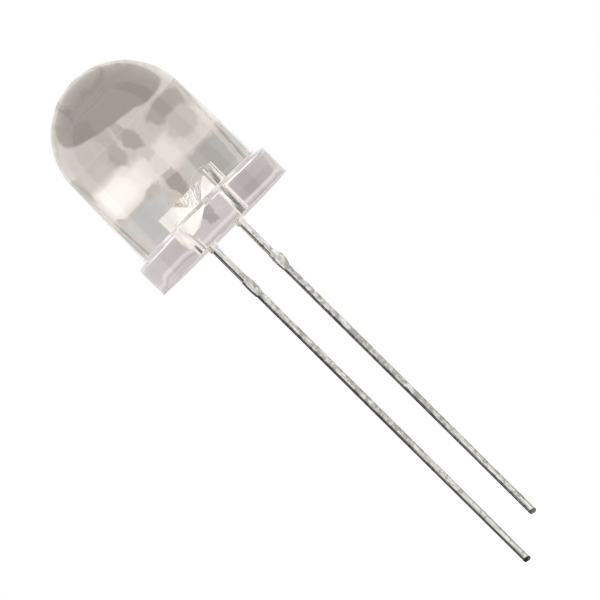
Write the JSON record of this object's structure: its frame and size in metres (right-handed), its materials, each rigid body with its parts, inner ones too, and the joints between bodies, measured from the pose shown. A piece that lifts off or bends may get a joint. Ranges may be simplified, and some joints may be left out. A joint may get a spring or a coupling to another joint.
{
  "type": "through hole led",
  "caption": "Water-clear light-emitting diode with a domed round body, flanged base, cathode flat and straight through-hole leads, the anode longer than the cathode.",
  "frame": {"origin": "centre of the seating face, the flat underside of the flange, on the axis of the dome", "axes": "+Z along the axis of the dome, towards its tip; the leads run along -Z in the XZ plane, the anode lead at -X and the cathode lead and the flat at +X"},
  "size_m": [0.0108, 0.0112, 0.0422],
  "materials": {
    "clear_resin": "water-clear cast epoxy, polished by its mould, faintly warm grey",
    "plated_strip": "silver-plated steel strip, bright inside the resin and dipped in tin outside it",
    "chip_crystal": "smooth crystal with gold pads",
    "silver_adhesive": "silver-filled resin, cured matt",
    "gold_wire": "drawn gold wire"
  },
  "bodies": {
    "root": {"lens": "clear_resin", "anode_lead": "plated_strip", "cathode_lead": "plated_strip", "led_chip": "chip_crystal", "die_adhesive": "silver_adhesive", "anode_wire": "gold_wire", "cathode_wire": "gold_wire"}
  },
  "joints": []
}
